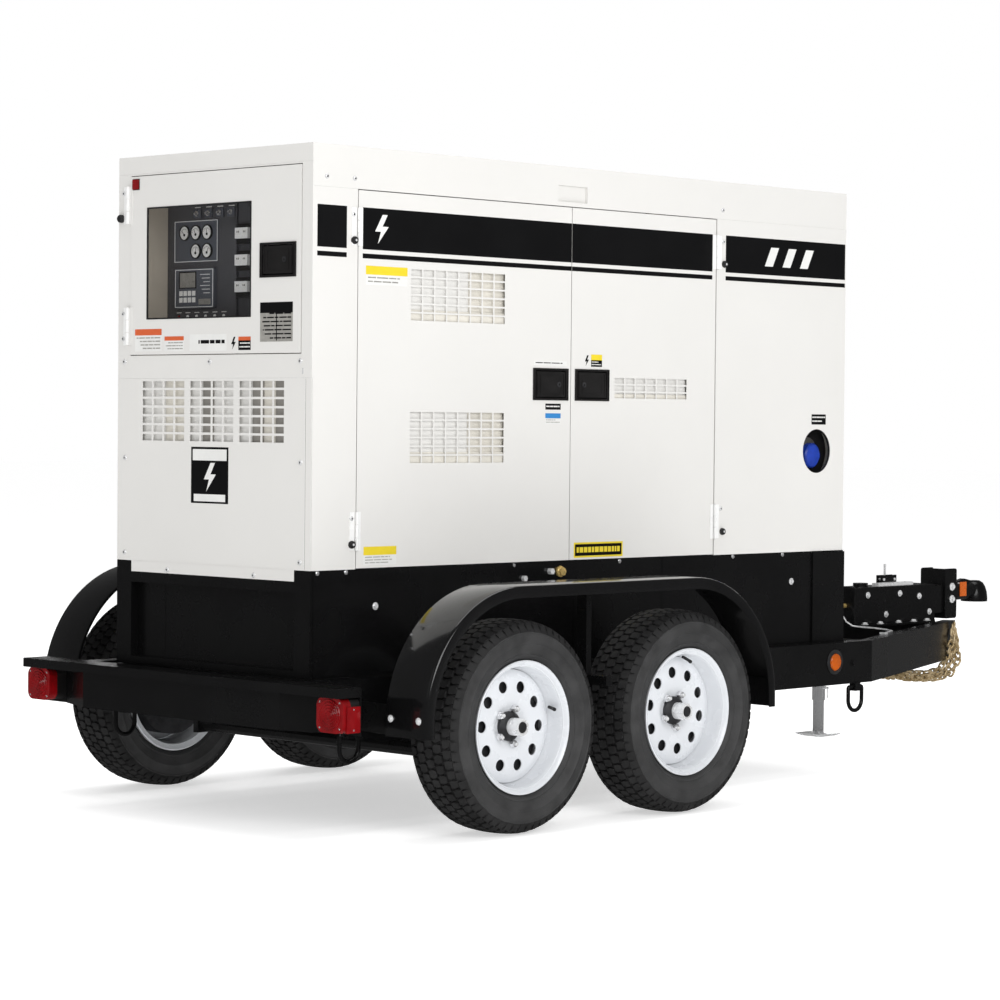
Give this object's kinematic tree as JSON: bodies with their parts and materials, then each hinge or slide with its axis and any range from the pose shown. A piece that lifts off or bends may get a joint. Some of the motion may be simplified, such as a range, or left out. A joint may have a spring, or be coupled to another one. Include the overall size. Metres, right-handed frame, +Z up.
{
  "type": "towable diesel generator",
  "caption": "Soundproof diesel generator enclosure on a skid base, carried by a tandem-axle trailer with fenders, lamps, surge-brake coupler, jack and hinged service doors.",
  "frame": {"origin": "centre of the whole object's outline on the ground", "axes": "+X forward to the hitch, +Y to the left, +Z up"},
  "size_m": [4.365, 1.87, 2.124],
  "materials": {
    "ivory_paint": "gloss",
    "black_paint": "gloss",
    "black_plastic": "satin",
    "tinted_glass": "polished",
    "tank_plastic": "satin",
    "engine_paint": "satin",
    "alternator_paint": "satin",
    "radiator_metal": "matte",
    "exhaust_steel": "satin",
    "panel_grey": "satin",
    "rubber": "matte",
    "white_rim": "gloss",
    "red_lens": "polished",
    "amber_lens": "polished",
    "zinc": "polished",
    "gold_zinc": "polished",
    "fan_plastic": "satin"
  },
  "bodies": {
    "trailer": {"roof_panel": "ivory_paint", "rear_frame_panel": "ivory_paint", "rear_lower_panel": "ivory_paint", "front_panel": "ivory_paint", "side_panel_right": "ivory_paint", "side_panel_left": "ivory_paint", "skid_base": "black_paint", "cross_member": "black_paint", "rear_bumper": "black_paint", "rail_right": "black_paint", "rail_left": "black_paint", "fender_right": "black_paint", "fender_left": "black_paint", "springs_right": "black_paint", "springs_left": "black_paint", "axle_rear": "black_paint", "axle_front": "black_paint", "brake_actuator": "black_paint", "tail_light_left": "red_lens", "marker_lamp_left": "amber_lens", "tail_light_right": "red_lens", "marker_lamp_right": "amber_lens", "control_panel": "panel_grey", "alternator": "alternator_paint", "engine": "engine_paint", "radiator": "radiator_metal", "muffler": "exhaust_steel", "fluid_tank": "tank_plastic", "battery": "black_plastic", "fuel_tank": "tank_plastic", "jack_tube": "zinc", "safety_chains": "gold_zinc"},
    "cooling_fan": {"cooling_fan": "fan_plastic"},
    "control_door": {"control_door": "ivory_paint", "control_window": "tinted_glass"},
    "control_latch": {"control_latch": "black_plastic"},
    "door_left_rear": {"door_left_rear": "ivory_paint"},
    "latch_left_rear": {"latch_left_rear": "black_plastic"},
    "door_left_front": {"door_left_front": "ivory_paint"},
    "latch_left_front": {"latch_left_front": "black_plastic"},
    "door_right_rear": {"door_right_rear": "ivory_paint"},
    "latch_right_rear": {"latch_right_rear": "black_plastic"},
    "door_right_front": {"door_right_front": "ivory_paint"},
    "latch_right_front": {"latch_right_front": "black_plastic"},
    "coupler": {"coupler": "black_paint"},
    "breakaway_lever": {"breakaway_lever": "zinc"},
    "jack_crank": {"jack_crank": "zinc"},
    "jack_leg": {"jack_leg": "zinc"},
    "lashing_ring_rear_left": {"lashing_ring_rear_left": "black_paint"},
    "lashing_ring_rear_right": {"lashing_ring_rear_right": "black_paint"},
    "lashing_ring_front_left": {"lashing_ring_front_left": "black_paint"},
    "lashing_ring_front_right": {"lashing_ring_front_right": "black_paint"},
    "wheel_rear_left": {"tyre_rear_left": "rubber", "wheel_rear_left": "white_rim"},
    "wheel_rear_right": {"tyre_rear_right": "rubber", "wheel_rear_right": "white_rim"},
    "wheel_front_left": {"tyre_front_left": "rubber", "wheel_front_left": "white_rim"},
    "wheel_front_right": {"tyre_front_right": "rubber", "wheel_front_right": "white_rim"}
  },
  "joints": [
    {"name": "fan_spin", "type": "hinge", "parent": "trailer", "child": "cooling_fan", "pos_m": [-0.2825, 0, 1.14], "axis": [1, 0, 0], "continuous": true},
    {"name": "control_door_hinge", "type": "hinge", "parent": "trailer", "child": "control_door", "pos_m": [-2.034, 0.417, 1.77], "axis": [0, 0, -1], "range_deg": [0, 110]},
    {"name": "control_latch_pull", "type": "hinge", "parent": "control_door", "child": "control_latch", "pos_m": [-2.0297, -0.251, 1.77], "axis": [0, 0, -1], "range_deg": [0, 30], "stiffness_Nm_per_rad": 1.5},
    {"name": "door_left_rear_hinge", "type": "hinge", "parent": "trailer", "child": "door_left_rear", "pos_m": [-1.839, 0.4771, 1.402], "axis": [0, 0, 1], "range_deg": [0, 110]},
    {"name": "latch_left_rear_pull", "type": "hinge", "parent": "door_left_rear", "child": "latch_left_rear", "pos_m": [-1.0245, 0.4706, 1.4], "axis": [0, 0, 1], "range_deg": [0, 30], "stiffness_Nm_per_rad": 1.5},
    {"name": "door_left_front_hinge", "type": "hinge", "parent": "trailer", "child": "door_left_front", "pos_m": [-0.1155, 0.4771, 1.402], "axis": [0, 0, -1], "range_deg": [0, 110]},
    {"name": "latch_left_front_pull", "type": "hinge", "parent": "door_left_front", "child": "latch_left_front", "pos_m": [-0.6915, 0.4706, 1.4], "axis": [0, 0, -1], "range_deg": [0, 30], "stiffness_Nm_per_rad": 1.5},
    {"name": "door_right_rear_hinge", "type": "hinge", "parent": "trailer", "child": "door_right_rear", "pos_m": [-1.839, -0.4771, 1.402], "axis": [0, 0, -1], "range_deg": [0, 110]},
    {"name": "latch_right_rear_pull", "type": "hinge", "parent": "door_right_rear", "child": "latch_right_rear", "pos_m": [-1.0245, -0.4706, 1.4], "axis": [0, 0, -1], "range_deg": [0, 30], "stiffness_Nm_per_rad": 1.5},
    {"name": "door_right_front_hinge", "type": "hinge", "parent": "trailer", "child": "door_right_front", "pos_m": [-0.1155, -0.4771, 1.402], "axis": [0, 0, 1], "range_deg": [0, 110]},
    {"name": "latch_right_front_pull", "type": "hinge", "parent": "door_right_front", "child": "latch_right_front", "pos_m": [-0.6915, -0.4706, 1.4], "axis": [0, 0, 1], "range_deg": [0, 30], "stiffness_Nm_per_rad": 1.5},
    {"name": "surge_slide", "type": "slide", "parent": "trailer", "child": "coupler", "axis": [-1, 0, 0], "range_m": [0, 0.06], "stiffness_N_per_m": 5000},
    {"name": "breakaway_pull", "type": "hinge", "parent": "trailer", "child": "breakaway_lever", "pos_m": [1.5125, 0, 0.664], "axis": [0, 1, 0], "range_deg": [0, 60]},
    {"name": "jack_crank_turn", "type": "hinge", "parent": "trailer", "child": "jack_crank", "pos_m": [1.0925, 0.05, 0.825], "axis": [0, 1, 0], "range_deg": [-4770, 2230]},
    {"name": "jack_leg_slide", "type": "slide", "parent": "trailer", "child": "jack_leg", "axis": [0, 0, 1], "range_m": [-0.25, 0.117]},
    {"name": "lashing_ring_rear_left_swing", "type": "hinge", "parent": "trailer", "child": "lashing_ring_rear_left", "pos_m": [-1.9295, 0.545, 0.312], "axis": [1, 0, 0], "range_deg": [-80, 80]},
    {"name": "lashing_ring_rear_right_swing", "type": "hinge", "parent": "trailer", "child": "lashing_ring_rear_right", "pos_m": [-1.9295, -0.545, 0.312], "axis": [1, 0, 0], "range_deg": [-80, 80]},
    {"name": "lashing_ring_front_left_swing", "type": "hinge", "parent": "trailer", "child": "lashing_ring_front_left", "pos_m": [0.6125, 0.545, 0.312], "axis": [1, 0, 0], "range_deg": [-80, 80]},
    {"name": "lashing_ring_front_right_swing", "type": "hinge", "parent": "trailer", "child": "lashing_ring_front_right", "pos_m": [0.6125, -0.545, 0.312], "axis": [1, 0, 0], "range_deg": [-80, 80]},
    {"name": "wheel_rear_left_spin", "type": "hinge", "parent": "trailer", "child": "wheel_rear_left", "pos_m": [-1.5415, 0.8325, 0.33313], "axis": [0, 1, 0], "continuous": true},
    {"name": "wheel_rear_right_spin", "type": "hinge", "parent": "trailer", "child": "wheel_rear_right", "pos_m": [-1.5415, -0.8325, 0.33313], "axis": [0, 1, 0], "continuous": true},
    {"name": "wheel_front_left_spin", "type": "hinge", "parent": "trailer", "child": "wheel_front_left", "pos_m": [-0.7645, 0.8325, 0.33313], "axis": [0, 1, 0], "continuous": true},
    {"name": "wheel_front_right_spin", "type": "hinge", "parent": "trailer", "child": "wheel_front_right", "pos_m": [-0.7645, -0.8325, 0.33313], "axis": [0, 1, 0], "continuous": true}
  ],
  "couplings": [
    {"joint": "jack_leg_slide", "follows": "jack_crank_turn", "m_per_rad": 0.003}
  ]
}
